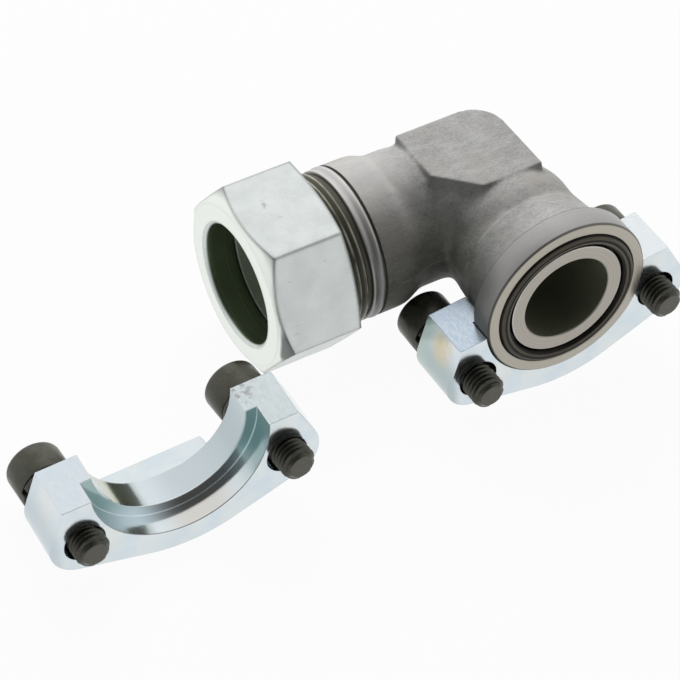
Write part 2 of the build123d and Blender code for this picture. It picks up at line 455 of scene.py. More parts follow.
class NodeBench:
    """A bench on which nodes are placed and wired."""

    def __init__(self, tree: bpy.types.NodeTree) -> None:
        """Clear a node tree to work in it."""
        self.tree = tree
        tree.nodes.clear()

    def node(self, kind: str) -> bpy.types.Node:
        """Add a shader node of a kind."""
        return self.tree.nodes.new(f"ShaderNode{kind}")

    def wire(self, source: Feed, target: Socket) -> None:
        """Wire a socket to another, or set its value.

        Args:
            source: A socket, a number or a colour.
            target: The socket that gets it.
        """
        if isinstance(source, bpy.types.NodeSocket):
            self.tree.links.new(source, target)
        elif isinstance(source, tuple) and target.type == "RGBA":
            target.default_value = (*source, 1.0)
        else:
            target.default_value = source

    def feed(self, step: bpy.types.Node, *sources: Feed, first: int = 0) -> bpy.types.Node:
        """Feed a node's inputs in order.

        Args:
            step: The node.
            sources: What its inputs get.
            first: Number of the first input that is fed.

        Returns:
            The node.
        """
        for number, source in enumerate(sources, first):
            self.wire(source, step.inputs[number])
        return step

    def work(self, kind: str, way: str, *sources: Feed) -> bpy.types.Node:
        """Add a node that works in one way on its inputs.

        Args:
            kind: Kind of node.
            way: What it works out.
            sources: What its inputs get.

        Returns:
            The node.
        """
        step = self.node(kind)
        step.operation = way
        return self.feed(step, *sources)

    def sum(self, way: str, first: Feed, second: Feed) -> Socket:
        """Work out a sum of two values."""
        return self.work("Math", way, first, second).outputs[0]

    def match(self, first: Feed, second: Feed) -> Socket:
        """Tell how far two directions agree."""
        return self.work("VectorMath", "DOT_PRODUCT", first, second).outputs["Value"]

    def rise(self, value: Feed, low: float, high: float, bottom: float = 0.0, top: float = 1.0) -> Socket:
        """Fade smoothly from one value to another; from high to low the fade is turned round.

        Args:
            value: What is measured.
            low: Where the fade starts.
            high: Where it ends.
            bottom: Result before the start.
            top: Result after the end.

        Returns:
            The result.
        """
        step = self.node("MapRange")
        step.interpolation_type = "SMOOTHSTEP"
        return self.feed(step, value, low, high, bottom, top).outputs[0]

    def seen(self) -> Socket:
        """Tell the rays that show the background from those that light the object.

        Returns:
            1 for seen, mirrored and passed rays, else 0.
        """
        path = self.node("LightPath")
        mirrored = self.sum("MAXIMUM", path.outputs["Is Camera Ray"], path.outputs["Is Glossy Ray"])
        return self.sum("MAXIMUM", mirrored, path.outputs["Is Transmission Ray"])

    def choose(self, factor: Socket, first: Socket, second: Socket) -> Socket:
        """Blend two shaders."""
        return self.feed(self.node("MixShader"), factor, first, second).outputs[0]

    def show(self, kind: str, surface: Socket) -> None:
        """Wire a shader to an output of a kind."""
        self.wire(surface, self.node(kind).inputs["Surface"])


class FinishBoard(NodeBench):
    """The node board on which one finish is wired up, with its colour so far."""

    def __init__(self, name: str, place: Matrix) -> None:
        """Lay out the shader and the coordinates.

        Args:
            name: Name of the finish.
            place: The piece's own axes; patterns are in millimetres along them.
        """
        self.material = bpy.data.materials.new(name)
        self.material.use_nodes = True
        super().__init__(self.material.node_tree)
        self.shader = self.node("BsdfPrincipled")
        self.show("OutputMaterial", self.shader.outputs["BSDF"])
        mapping = self.node("Mapping")
        shift, turn, _ = place.inverted().decompose()
        mapping.inputs["Location"].default_value = shift / MM
        mapping.inputs["Rotation"].default_value = turn.to_euler()
        mapping.inputs["Scale"].default_value = (1.0 / MM,) * 3
        self.wire(self.node("TexCoord").outputs["Object"], mapping.inputs["Vector"])
        self.place = mapping.outputs["Vector"]
        self.x, self.y, self.z = self.feed(self.node("SeparateXYZ"), self.place).outputs
        self.radius = self.away(self.x, self.y)
        self.colour: Feed = (0.0, 0.0, 0.0)

    def away(self, first: Socket, second: Socket) -> Socket:
        """Measure the distance from an axis by two distances across it."""
        squares = self.sum("ADD", self.sum("MULTIPLY", first, first), self.sum("MULTIPLY", second, second))
        return self.sum("POWER", squares, 0.5)

    def meet(self, *masks: Feed, **fades: Span) -> Feed:
        """Mask where masks meet fades along x, y, z or radius.

        Args:
            masks: The masks.
            fades: Where each fade starts and ends.

        Returns:
            The mask.
        """
        mask, *others = [*masks, *(self.rise(getattr(self, name), *span) for name, span in fades.items())]
        for other in others:
            mask = self.sum("MULTIPLY", mask, other)
        return mask

    def band(self, value: Socket, low: float, high: float, soft: float) -> Socket:
        """Mask a band of a value, with ends that fade over a width to both sides."""
        return self.meet(self.rise(value, low - soft, low + soft), self.rise(value, high + soft, high - soft))

    def either(self, first: Feed, second: Feed) -> Socket:
        """Mask where one of two masks is."""
        return self.sum("MAXIMUM", first, second)

    def without(self, mask: Feed) -> Socket:
        """Turn a mask round."""
        return self.sum("SUBTRACT", 1.0, mask)

    def grain(
        self, scale: float, detail: float = 3.0, stretch: Triple = (1.0, 1.0, 1.0), shift: Triple = (0.0, 0.0, 0.0)
    ) -> Socket:
        """Make a cloudy grain.

        Args:
            scale: Clouds in a millimetre.
            detail: Layers of finer clouds.
            stretch: Scale along each axis.
            shift: Where the pattern is taken from.

        Returns:
            The grain from 0 to 1.
        """
        move = self.node("Mapping")
        move.inputs["Location"].default_value = shift
        move.inputs["Scale"].default_value = stretch
        self.wire(self.place, move.inputs["Vector"])
        cloud = self.node("TexNoise")
        cloud.inputs["Scale"].default_value = scale
        cloud.inputs["Detail"].default_value = detail
        self.wire(move.outputs["Vector"], cloud.inputs["Vector"])
        return cloud.outputs[0]

    def lines(self, value: Socket, scale: float, detail: float) -> Socket:
        """Make uneven tool lines across a value.

        Args:
            value: What the lines follow.
            scale: Lines in a millimetre.
            detail: Layers of finer lines.

        Returns:
            The lines from 0 to 1.
        """
        cloud = self.node("TexNoise")
        cloud.noise_dimensions = "1D"
        cloud.inputs["Scale"].default_value = scale
        cloud.inputs["Detail"].default_value = detail
        self.wire(value, cloud.inputs["W"])
        return cloud.outputs[0]

    def mix(self, first: Socket, second: Socket, share: float) -> Socket:
        """Add two patterns, the second one with its share."""
        return self.sum("ADD", self.meet(first, 1.0 - share), self.meet(second, share))

    def blend(self, factor: Feed, first: Feed, second: Feed) -> Socket:
        """Blend two colours.

        Args:
            factor: Share of the second colour.
            first: First colour.
            second: Second colour.

        Returns:
            The colour.
        """
        step = self.node("Mix")
        step.data_type = "RGBA"
        self.feed(step, factor)
        return self.feed(step, first, second, first=6).outputs[2]

    def coat(self, over: Feed, share: float, *masks: Feed, **fades: Span) -> None:
        """Lay a colour over the one so far, with its share where masks and fades meet."""
        self.colour = self.blend(self.meet(share, *masks, **fades), self.colour, over)

    def shades(self, tone: Feed, colour: Colour, low: float, high: float) -> Socket:
        """Vary a colour's brightness by a pattern, between two shares of it."""
        return self.blend(tone, shade(colour, low), shade(colour, high))

    def relief(self, height: Socket, depth: float, strength: float, under: Union[Socket, None] = None) -> Socket:
        """Make a relief from a height.

        Args:
            height: Height from 0 to 1.
            depth: Depth of the relief in millimetres.
            strength: Share of it that shows.
            under: A relief that it lies on.

        Returns:
            The surface's direction.
        """
        step = self.node("Bump")
        step.inputs["Strength"].default_value = strength
        step.inputs["Distance"].default_value = depth * MM
        self.wire(height, step.inputs["Height"])
        if under is not None:
            self.wire(under, step.inputs["Normal"])
        return step.outputs["Normal"]

    def broken_edge(self, radius: float) -> tuple[Socket, Socket]:
        """Break the sharp edges of a machined solid.

        Args:
            radius: Radius of the broken edge in millimetres.

        Returns:
            The surface's direction, and a mask of the edges.
        """
        step = self.node("Bevel")
        step.samples = 6
        step.inputs["Radius"].default_value = radius * MM
        agree = self.match(step.outputs["Normal"], self.node("NewGeometry").outputs["Normal"])
        return step.outputs["Normal"], self.rise(agree, 0.965, 0.89)

    def done(self, roughness: Feed, metallic: Feed, normal: Socket) -> Finish:
        """Wire the shader up with the colour so far.

        Args:
            roughness: Roughness.
            metallic: How far it is bare metal.
            normal: Surface direction with relief.

        Returns:
            The finish.
        """
        self.wire(self.colour, self.shader.inputs["Base Color"])
        self.wire(roughness, self.shader.inputs["Roughness"])
        self.wire(metallic, self.shader.inputs["Metallic"])
        self.wire(normal, self.shader.inputs["Normal"])
        return self.material


@dataclass(frozen=True)
class ForgedSkin:
    """Blasted and phosphated skin of a forging."""

    dark: Colour = (0.225, 0.223, 0.214)
    light: Colour = (0.400, 0.396, 0.388)
    warm: Colour = (0.345, 0.314, 0.285)
    olive: Colour = (0.205, 0.214, 0.168)
    pit: Colour = (0.12, 0.115, 0.108)
    bored: Colour = (0.30, 0.31, 0.23)
    # Painted highlight colour, used on the nut arm's crown.
    painted_highlight: Colour = (0.56, 0.55, 0.54)
    neck_highlight: Colour = (0.58, 0.57, 0.56)
    parting: Colour = (0.50, 0.49, 0.475)
    metallic: float = 0.12

    def mottle(self, board: FinishBoard) -> Socket:
        """Lay the mottled grey.

        Args:
            board: The board to work on.

        Returns:
            The fine grain.
        """
        fine = board.grain(1.5, 4.0, (0.7, 1.3, 1.3))
        patches = board.grain(0.16, 4.0)
        streaks = board.grain(0.45, 3.0, (0.5, 1.4, 1.4), (31.0, 7.0, 3.0))
        coarse = board.sum("ADD", patches, streaks)
        tone = board.sum("ADD", board.meet(fine, 0.6), board.meet(coarse, 0.36))
        board.colour = board.blend(board.rise(tone, 0.40, 0.92), self.dark, self.light)
        board.coat(self.warm, 0.6, board.rise(board.grain(0.09, shift=(5.0, 19.0, 40.0)), 0.5, 0.75))
        return fine

    def material(self, place: Matrix) -> Finish:
        """Make the finish.

        Args:
            place: The elbow's axes.

        Returns:
            The finish.
        """
        board = FinishBoard("forged_skin", place)
        fine = self.mottle(board)
        pits = board.rise(board.grain(0.9, 2.0, shift=(11.0, 2.0, 8.0)), 0.70, 0.80)
        board.coat(self.pit, 0.3, pits)
        cast = board.mix(fine, board.grain(0.24, 4.0, (0.5, 1.2, 1.2), (4.0, 4.0, 4.0)), 0.5)
        # Painted shade: the forging turns a darker, mottled olive towards the bottom.
        underside_shade = board.shades(board.rise(cast, 0.36, 0.64), self.olive, 0.62, 1.38)
        board.coat(underside_shade, 0.65, z=(20.0, 6.0))
        flange_bore = board.meet(board.rise(board.away(board.x, board.z), 14.4, 14.0), y=(12.6, 11.8))
        nut_bore = board.meet(board.rise(board.away(board.y, board.z), 15.8, 15.4), x=(11.2, 10.4))
        board.coat(self.bored, 1.0, board.either(flange_bore, nut_bore))
        scale = board.rise(board.grain(0.10, 3.0, (0.6, 1.2, 1.2), (9.0, 3.0, 1.0)), 0.35, 0.65)
        board.coat(self.warm, 0.5, scale, x=(-22.0, -34.0))
        # Painted highlight: the crown of the nut arm next to the collar is painted lighter.
        board.coat(self.painted_highlight, 0.4, z=(17.0, 21.0), x=(-20.0, -31.0))
        # Painted highlight: a light arc on the arm where it blends into the flange neck.
        neck_highlight = board.rise(board.grain(0.15, 2.0), 0.35, 0.6)
        board.coat(self.neck_highlight, 0.35, neck_highlight, board.band(board.y, -30.3, -29.8, 0.3))
        parting = board.rise(board.grain(0.12, 2.0), 0.4, 0.6)
        parting = board.meet(parting, board.band(board.z, -0.35, 0.35, 0.25))
        board.coat(self.parting, 0.3, parting)
        height = board.sum("SUBTRACT", board.sum("ADD", fine, board.grain(0.5)), pits)
        normal = board.relief(board.sum("ADD", height, parting), 0.12, 0.55)
        return board.done(board.rise(fine, 0.2, 0.8, 0.5, 0.66), self.metallic, normal)


@dataclass(frozen=True)
class TurnedFlange:
    """Turned flange head: bright sealing face, groove painted black as shade, black bore, grey rim and neck."""

    face: Colour = (0.47, 0.44, 0.39)
    land: Colour = (0.52, 0.492, 0.412)
    groove_edge_highlight: Colour = (0.78, 0.76, 0.71)
    # Painted shade colour of the groove.
    groove: Colour = (0.022, 0.020, 0.015)
    bore: Colour = (0.30, 0.31, 0.23)
    neck: Colour = (0.42, 0.41, 0.40)
    rim: Colour = (0.385, 0.377, 0.373)
    # Painted shade colour of the rim's edges.
    edge: Colour = (0.085, 0.080, 0.070)
    skin: ForgedSkin = ForgedSkin()

    def material(self, place: Matrix) -> Finish:
        """Make the finish.

        Args:
            place: The flange axis.

        Returns:
            The finish.
        """
        board = FinishBoard("turned_flange", place)
        fine = self.skin.mottle(board)
        rings = board.lines(board.radius, 2.2, 3.0)
        turning = board.lines(board.z, 2.6, 2.0)
        on_face = board.meet(z=(0.5, 0.05))
        on_rim = board.meet(radius=(24.9, 25.2), z=(8.4, 8.2))
        board.coat(self.neck, 0.25, turning)
        board.coat(board.shades(turning, self.rim, 0.78, 1.12), 0.8, on_rim)
        # Painted shade: the lower left of the head is painted a darker olive.
        board.coat(shade(self.skin.olive, 0.45), 0.8, y=(-11.0, 6.0), x=(8.0, -12.0))
        outer_land = board.meet(0.6, radius=(21.9, 22.3))
        bright = board.blend(outer_land, board.shades(rings, self.face, 0.84, 1.12), self.land)
        board.coat(bright, 1.0, on_face)
        # Painted shade: dark lines on the rim's front chamfer and on its back edge.
        front_edge_shadow = board.meet(0.85, radius=(24.85, 25.1), z=(0.8, 0.6))
        back_edge_shade = board.meet(0.5, radius=(22.2, 23.5), z=(7.45, 7.65))
        board.coat(self.edge, 1.0, board.either(front_edge_shadow, back_edge_shade))
        # Painted highlight: a bright line on the inner edge of the groove.
        board.coat(self.groove_edge_highlight, 0.7, on_face, board.band(board.radius, 17.55, 17.76, 0.05))
        # Painted shade: the groove's walls and floor are painted near black.
        depth = board.meet(board.rise(board.z, 0.1, 0.5), z=(7.5, 7.0))
        board.coat(self.groove, 1.0, depth, board.band(board.radius, 17.78, 22.02, 0.03))
        board.coat(self.bore, 1.0, radius=(13.75, 13.55))
        tool = board.sum("ADD", board.meet(rings, on_face), board.meet(turning, board.without(on_face)))
        normal = board.relief(tool, 0.03, 0.5, board.relief(fine, 0.05, 0.35))
        rough = board.rise(board.meet(on_face, rings), 0.0, 1.0, 0.46, 0.30)
        metal = board.either(board.rise(on_face, 0.0, 1.0, 0.15, 0.8), board.meet(on_rim, 0.6))
        return board.done(rough, metal, normal)


@dataclass(frozen=True)
class TurnedSpigot:
    """Turned collar and thread: worn crests over olive flanks, dark passage."""

    band: Colour = (0.34, 0.338, 0.33)
    shaded: Colour = (0.12, 0.124, 0.112)
    lip_highlight: Colour = (0.66, 0.65, 0.64)
    crest: Colour = (0.52, 0.50, 0.43)
    flank: Colour = (0.070, 0.068, 0.048)
    inside: Colour = (0.44, 0.50, 0.38)

    def material(self, place: Matrix) -> Finish:
        """Make the finish.

        Args:
            place: The nut axis.

        Returns:
            The finish.
        """
        board = FinishBoard("turned_spigot", place)
        turning = board.lines(board.z, 2.4, 3.0)
        board.colour = board.shades(turning, self.band, 0.8, 1.1)
        board.coat(self.shaded, 0.75, board.band(board.z, 42.9, 44.3, 0.5))
        # Painted highlights: light bands on both lips of the collar.
        lip_highlight_bands = board.either(board.band(board.z, 44.6, 45.1, 0.15), board.band(board.z, 41.7, 42.3, 0.12))
        board.coat(self.lip_highlight, 0.3, lip_highlight_bands)
        # Painted highlight: the upper side of the collar is painted lighter.
        board.coat(self.lip_highlight, 0.55, y=(-9.0, -20.0))
        worn = board.meet(board.rise(board.grain(0.12, 2.0), 0.25, 0.6), radius=(22.0, 22.45))
        board.coat(board.blend(worn, self.flank, self.crest), 1.0, z=(45.15, 45.45))
        # Painted shade: the step between the collar and the forging is painted as dark as the flanks.
        board.coat(self.flank, 1.0, z=(41.7, 41.5), radius=(22.25, 21.95))
        passage = board.meet(radius=(19.8, 19.2))
        board.coat(self.inside, 1.0, passage)
        normal = board.relief(turning, 0.03, 0.6, board.relief(board.grain(1.4), 0.04, 0.3))
        rough = board.rise(turning, 0.2, 0.8, 0.32, 0.44)
        return board.done(rough, board.rise(passage, 0.0, 1.0, 0.5, 0.2), normal)


@dataclass(frozen=True)
class ZincNutSkin:
    """Satin zinc of the union nut, with a greenish inside painted dark as shade."""

    pale: Colour = (0.80, 0.84, 0.83)
    dull: Colour = (0.69, 0.73, 0.715)
    bright: Colour = (0.92, 0.96, 0.91)
    inside: Colour = (0.25, 0.31, 0.20)
    # Painted shade colour of the chamfer and the edges.
    line: Colour = (0.22, 0.23, 0.22)
    nick: Colour = (0.36, 0.38, 0.36)
    corner_shade: Colour = (0.09, 0.10, 0.095)
    fleck: Colour = (0.32, 0.36, 0.34)
    front: float = 76.8
    rear: float = 51.9
    rim: float = 24.0
    chamfer: float = 30.0

    def front_face(self, board: FinishBoard) -> Socket:
        """Mask the front face and its chamfer.

        Args:
            board: The board to work on.

        Returns:
            The mask.
        """
        slope = math.tan(math.radians(self.chamfer))
        outside = board.meet(board.sum("SUBTRACT", board.radius, self.rim), slope)
        cone = board.rise(board.sum("ADD", board.z, outside), self.front - 0.3, self.front - 0.1)
        return board.either(cone, board.meet(z=(self.front - 0.12, self.front - 0.05)))

    def material(self, place: Matrix) -> Finish:
        """Make the finish.

        Args:
            place: The nut axis.

        Returns:
            The finish.
        """
        board = FinishBoard("zinc_nut_skin", place)
        fine = board.grain(2.2)
        tone = board.mix(fine, board.grain(0.13, 4.0), 0.6)
        board.colour = board.blend(board.rise(tone, 0.35, 0.65), self.dull, self.pale)
        nicks = board.rise(board.grain(0.35, 2.0, (1.0, 1.0, 0.4), (3.0, 9.0, 1.0)), 0.70, 0.76)
        board.coat(self.nick, 0.45, nicks)
        front = self.front_face(board)
        # Painted light: the front face is painted brighter than the flats, standing in for light from the left.
        board.coat(self.bright, 1.0, front)
        # Painted shade: the outer part of the front face darkens towards the chamfer.
        board.coat(self.line, 0.6, front, radius=(self.rim + 1.6, self.rim + 4.6))
        # Painted shade: a dark patch at one corner of the front chamfer.
        corner = board.meet(front, board.band(board.y, -3.0, 9.0, 2.5), x=(-23.6, -24.8))
        board.coat(self.corner_shade, 0.85, corner, radius=(self.rim + 0.5, self.rim + 1.5))
        flat = board.meet(board.band(board.x, -0.9, 2.2, 0.5), board.band(board.z, 66.6, 67.6, 0.4))
        board.coat(self.fleck, 0.6, flat, board.rise(board.grain(0.9, 2.0), 0.40, 0.52), y=(-24.0, -24.5))
        normal, edge = board.broken_edge(1.8)
        # Painted dark reflections along the broken edges.
        board.coat(self.line, 0.8, edge)
        # Greenish tint of the inside, painted dark as shade.
        inside = board.shades(board.lines(board.z, 1.2, 3.0), self.inside, 0.6, 1.3)
        hollow = board.band(board.z, self.rear + 0.3, self.front - 0.8, 0.2)
        board.coat(inside, 1.0, hollow, radius=(22.9, 22.65))
        normal = board.relief(fine, 0.03, 0.35, normal)
        return board.done(board.rise(fine, 0.2, 0.8, 0.34, 0.48), 0.92, normal)


@dataclass(frozen=True)
class ZincHalfSkin:
    """Blue passivated zinc of a flange half, with a turned neck bore and recess."""

    blue: Colour = (0.66, 0.745, 0.80)
    pale: Colour = (0.74, 0.79, 0.80)
    yellow: Colour = (0.72, 0.68, 0.52)
    teal: Colour = (0.22, 0.35, 0.35)
    slate: Colour = (0.46, 0.52, 0.56)
    lilac: Colour = (0.645, 0.71, 0.775)
    lit: Colour = (0.56, 0.63, 0.645)
    stain: Colour = (0.66, 0.56, 0.36)
    verdigris: Colour = (0.46, 0.58, 0.53)
    tan: Colour = (0.60, 0.52, 0.43)
    glint: Colour = (0.82, 0.93, 0.95)
    shadow: Colour = (0.12, 0.13, 0.13)
    rust: Colour = (0.26, 0.21, 0.18)
    edge: Colour = (0.80, 0.84, 0.86)
    stained: float = 0.1
    outer_darkening: float = 0.5
    spot: Point = (5.2, 7.4)

    def turned_bore(self, board: FinishBoard, turned: Socket, rings: Socket) -> None:
        """Colour the turned neck bore and recess, with the line of the step between them.

        Args:
            board: The board to work on.
            turned: Mask of the turned faces.
            rings: Tool lines.
        """
        ends = board.meet(board.rise(board.z, 7.6, 8.2, 0.85, 0.45), y=(23.0, 11.0))
        board.coat(board.blend(ends, board.blend(rings, self.blue, self.pale), self.teal), 1.0, turned)
        neck = board.meet(turned, z=(7.6, 8.0))
        recess = board.meet(turned, z=(7.6, 7.2))
        board.coat(self.slate, 0.6, neck, board.band(board.x, -3.0, 24.0, 6.0))
        board.coat(self.tan, 0.5, recess, board.band(board.x, -4.0, 13.0, 5.0))
        board.coat(self.yellow, 0.6, neck, board.band(board.x, -19.0, -12.0, 3.0))
        board.coat(self.glint, 0.9, turned, board.band(board.z, 7.05, 7.35, 0.08))
        board.coat(self.shadow, 0.9, turned, z=(0.3, 0.12))

    def stains(self, board: FinishBoard, sawn: Socket) -> None:
        """Add the darker outer side with its stain, and the pitted rust on one sawn face.

        Args:
            board: The board to work on.
            sawn: Mask of the sawn faces.
        """
        plain = board.without(sawn)
        board.coat(self.slate, self.outer_darkening, plain, x=(-35.0, -38.0))
        pitted = board.rise(board.grain(0.7, shift=(6.0, 1.0, 3.0)), 0.47, 0.62)
        near_neck = board.meet(board.rise(board.x, 0.0, 1.0), x=(31.0, 24.0), z=(8.0, 13.0))
        board.coat(self.rust, 0.6, sawn, pitted, near_neck)
        side = board.meet(plain, x=(-33.0, -34.5))
        board.coat(self.verdigris, self.stained, side, z=(9.0, 16.0))
        down, back = self.spot
        spot = board.away(board.sum("SUBTRACT", board.y, down), board.sum("SUBTRACT", board.z, back))
        cloud = board.rise(board.grain(0.6), 0.25, 0.6, 0.45, 1.0)
        board.coat(self.stain, self.stained, side, cloud, board.rise(spot, 6.5, 1.5))

    def material(self, name: str, place: Matrix) -> Finish:
        """Make the finish.

        Args:
            name: Name of the finish.
            place: The half's own axes.

        Returns:
            The finish.
        """
        board = FinishBoard(name, place)
        fine = board.grain(2.4)
        board.colour = board.blend(board.rise(board.grain(0.11), 0.35, 0.65), self.blue, self.pale)
        film = board.rise(board.grain(0.075, 2.0, shift=(17.0, 4.0, 9.0)), 0.55, 0.75)
        board.coat(self.yellow, 0.3, film)
        sawn = board.meet(y=(1.45, 1.25))
        saw_lines = board.grain(1.8, 3.0, (1.0, 1.0, 0.35), (2.0, 2.0, 2.0))
        # Painted light and shade: the sawn faces take one colour on the left ear and another on the right.
        lilac = board.blend(board.meet(x=(-4.0, 8.0)), self.lilac, self.lit)
        lilac = board.blend(board.rise(saw_lines, 0.3, 0.7, 0.0, 0.45), lilac, self.pale)
        board.coat(lilac, 0.8, sawn)
        turned = board.meet(board.without(sawn), radius=(25.8, 25.68), z=(17.2, 16.9))
        rings = board.lines(board.z, 1.5, 3.0)
        self.turned_bore(board, turned, rings)
        self.stains(board, sawn)
        normal, edge = board.broken_edge(0.3)
        # Painted highlight: the broken edges are painted lighter.
        board.coat(self.edge, 0.5, edge)
        tool = board.sum("ADD", board.meet(rings, turned), board.meet(saw_lines, sawn))
        normal = board.relief(tool, 0.02, 0.4, board.relief(fine, 0.015, 0.3, normal))
        rough = board.sum("ADD", board.rise(sawn, 0.0, 1.0, 0.10, 0.22), board.meet(fine, 0.06))
        return board.done(rough, 0.95, normal)


@dataclass(frozen=True)
class BlackOxide:
    """Black oxide of screws and washers."""

    name: str = "black_oxide"
    deep: Colour = (0.056, 0.056, 0.041)
    worn: Colour = (0.092, 0.091, 0.073)
    crest: Colour = (0.16, 0.155, 0.14)
    end: Colour = (0.125, 0.118, 0.098)
    roughness: float = 0.30

    def material(self, place: Matrix) -> Finish:
        """Make the finish.

        Args:
            place: The screw's own axes.

        Returns:
            The finish.
        """
        board = FinishBoard(self.name, place)
        fine = board.grain(1.8)
        clouds = board.grain(0.3)
        board.colour = board.blend(board.rise(board.mix(fine, clouds, 0.5), 0.35, 0.75), self.deep, self.worn)
        board.coat(self.crest, 0.5, board.band(board.radius, 4.86, 5.05, 0.05), board.rise(fine, 0.4, 0.7))
        board.coat(self.end, 1.0, z=(-25.2, -25.36))
        rough = board.rise(clouds, 0.3, 0.7, self.roughness - 0.06, self.roughness + 0.1)
        return board.done(rough, 0.45, board.relief(fine, 0.03, 0.4))


@dataclass(frozen=True)
class SealRubber:
    """Moulded black rubber of the O-ring, with two bands of painted highlight."""

    deep: Colour = (0.012, 0.011, 0.008)
    bloom: Colour = (0.024, 0.022, 0.017)
    painted_highlight: Colour = (0.28, 0.255, 0.20)
    shine: float = 0.18

    def material(self, place: Matrix) -> Finish:
        """Make the finish.

        Args:
            place: The flange axis.

        Returns:
            The finish.
        """
        board = FinishBoard("seal_rubber", place)
        fine = board.grain(2.5)
        board.colour = board.blend(board.rise(board.grain(0.35), 0.4, 0.7), self.deep, self.bloom)
        # Painted highlights: two lighter bands round the ring.
        outer = board.meet(0.8, board.band(board.radius, 20.6, 21.4, 0.12))
        inner = board.band(board.radius, 19.2, 19.85, 0.1)
        board.coat(self.painted_highlight, 1.0, board.either(outer, inner))
        board.shader.inputs["Specular IOR Level"].default_value = self.shine
        return board.done(board.rise(fine, 0.2, 0.8, 0.42, 0.58), 0.0, board.relief(fine, 0.02, 0.3))


@dataclass(frozen=True)
class RingSteel:
    """Plated steel of the cutting ring, with its rear land painted light as a highlight."""

    pale: Colour = (0.74, 0.78, 0.70)
    dull: Colour = (0.54, 0.58, 0.49)
    land: Colour = (0.91, 0.93, 0.88)

    def material(self, place: Matrix) -> Finish:
        """Make the finish.

        Args:
            place: The nut axis.

        Returns:
            The finish.
        """
        board = FinishBoard("ring_steel", place)
        rings = board.lines(board.radius, 2.5, 2.0)
        board.colour = board.blend(rings, self.dull, self.pale)
        # Painted highlight: the rear land is painted light.
        board.coat(self.land, 1.0, z=(66.4, 66.8))
        normal, _ = board.broken_edge(0.2)
        rough = board.rise(board.grain(1.6), 0.2, 0.8, 0.3, 0.45)
        return board.done(rough, 0.3, board.relief(rings, 0.02, 0.4, normal))


# Sub-assemblies


